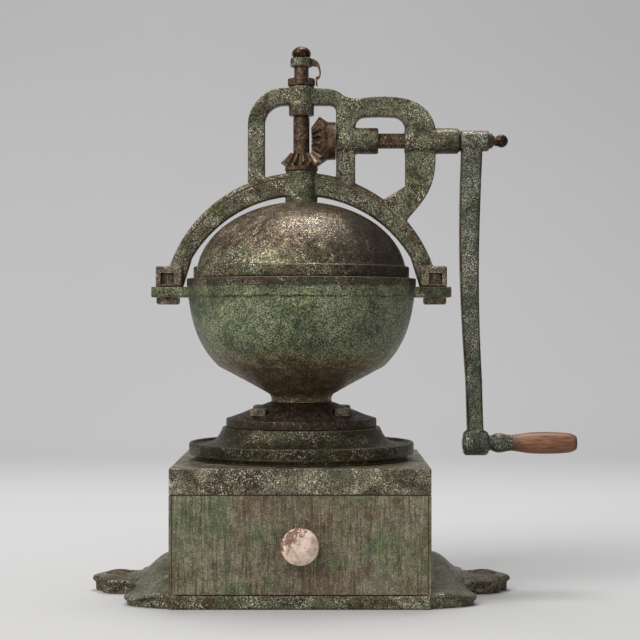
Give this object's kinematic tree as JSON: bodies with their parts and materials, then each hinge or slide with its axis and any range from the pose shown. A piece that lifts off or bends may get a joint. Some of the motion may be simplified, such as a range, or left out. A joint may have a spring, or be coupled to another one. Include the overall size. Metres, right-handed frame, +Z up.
{
  "type": "hand crank coffee grinder",
  "caption": "Counter coffee mill: ball hopper on a square drawer case, open iron yoke with bevel gears and a hanging side crank.",
  "frame": {"origin": "centre of the base's underside, on the spindle's axis", "axes": "+Z up along the spindle, +X towards the crank, -Y towards the drawer knob"},
  "size_m": [0.4346, 0.2343, 0.4884],
  "materials": {
    "patina_iron": "green patina with brown rust and fine pale specks, worn edges",
    "speckled_iron": "close pale and brown speckle over grey-green iron",
    "rusty_iron": "dark brown rust, smooth and lightly pitted",
    "dark_steel": "oiled dark steel, darkened in the roots",
    "burr_steel": "ground bright steel, seen only from inside",
    "bronze": "rubbed bronze with brown tarnish",
    "painted_wood": "worn olive and brown stain with fine upright grain",
    "plain_wood": "bare brown wood",
    "grip_wood": "oiled orange-brown wood, darker at the end",
    "knob_enamel": "chipped cream enamel over brown"
  },
  "bodies": {
    "root": {"base_casting": "patina_iron", "base_screw_front_right": "dark_steel", "base_screw_front_left": "dark_steel", "base_screw_rear_right": "dark_steel", "base_screw_rear_left": "dark_steel", "ear_screw_right": "rusty_iron", "ear_screw_left": "rusty_iron", "side_panel_right": "painted_wood", "side_panel_left": "painted_wood", "rear_panel": "painted_wood", "drawer_runner_right": "plain_wood", "drawer_runner_left": "plain_wood", "top_plate": "speckled_iron", "pedestal": "patina_iron", "burr_housing": "rusty_iron", "flange_bolt_1": "rusty_iron", "flange_bolt_2": "rusty_iron", "flange_bolt_3": "rusty_iron", "flange_bolt_4": "rusty_iron", "outer_burr": "burr_steel", "bearing_bridge": "dark_steel", "foot_bush": "bronze", "hopper_bowl": "patina_iron", "dome_lid": "patina_iron", "hatch_hinge_pin": "bronze", "yoke_frame": "patina_iron", "lower_spindle_bush": "bronze", "upper_spindle_bush": "bronze", "inner_shaft_bush": "bronze", "outer_shaft_bush": "bronze", "yoke_bolt_right": "rusty_iron", "yoke_bolt_left": "rusty_iron", "yoke_nut_right": "dark_steel", "yoke_nut_left": "dark_steel"},
    "crank": {"drive_shaft": "rusty_iron", "drive_gear": "dark_steel", "gear_pin": "dark_steel", "thrust_washer": "bronze", "crank_arm": "speckled_iron", "hub_nut": "rusty_iron", "ball_nut": "bronze", "grip_spindle": "dark_steel"},
    "grip": {"wooden_grip": "grip_wood", "grip_ferrule": "patina_iron"},
    "gear": {"driven_gear": "dark_steel"},
    "spindle": {"main_spindle": "rusty_iron", "inner_burr": "burr_steel", "burr_nut": "dark_steel", "pawl_collar": "patina_iron", "acorn_nut": "bronze"},
    "adjuster": {"adjusting_nut": "rusty_iron"},
    "pawl": {"spring_pawl": "rusty_iron"},
    "drawer": {"drawer_front": "painted_wood", "drawer_side_right": "plain_wood", "drawer_side_left": "plain_wood", "drawer_back": "plain_wood", "drawer_bottom": "plain_wood", "drawer_knob": "knob_enamel", "knob_screw": "dark_steel"},
    "hatch": {"filling_hatch": "patina_iron"}
  },
  "joints": [
    {"name": "crank_spin", "type": "hinge", "parent": "root", "child": "crank", "pos_m": [0.142, 0, 0.4035], "axis": [1, 0, 0], "continuous": true},
    {"name": "spindle_spin", "type": "hinge", "parent": "root", "child": "gear", "pos_m": [0, 0, 0.38], "axis": [0, 0, 1], "continuous": true},
    {"name": "adjust_turn", "type": "hinge", "parent": "gear", "child": "adjuster", "pos_m": [0, 0, 0.456], "axis": [0, 0, 1], "range_deg": [-180, 180]},
    {"name": "spindle_lift", "type": "slide", "parent": "gear", "child": "spindle", "axis": [0, 0, 1], "range_m": [-0.00075, 0.00075]},
    {"name": "pawl_lift", "type": "hinge", "parent": "spindle", "child": "pawl", "pos_m": [0.0104, 0, 0.4769], "axis": [0, -1, 0], "range_deg": [0, 25], "stiffness_Nm_per_rad": 0.1},
    {"name": "grip_spin", "type": "hinge", "parent": "crank", "child": "grip", "pos_m": [0.205, 0, 0.1321], "axis": [1, 0, 0], "continuous": true},
    {"name": "drawer_slide", "type": "slide", "parent": "root", "child": "drawer", "axis": [0, -1, 0], "range_m": [0, 0.15]},
    {"name": "hatch_swing", "type": "hinge", "parent": "root", "child": "hatch", "pos_m": [0, 0.0565, 0.341], "axis": [1, 0, 0], "range_deg": [0, 100]}
  ],
  "couplings": [
    {"joint": "spindle_spin", "follows": "crank_spin", "ratio": 1.2},
    {"joint": "adjust_turn", "follows": "spindle_lift", "rad_per_m": -4188.8}
  ]
}
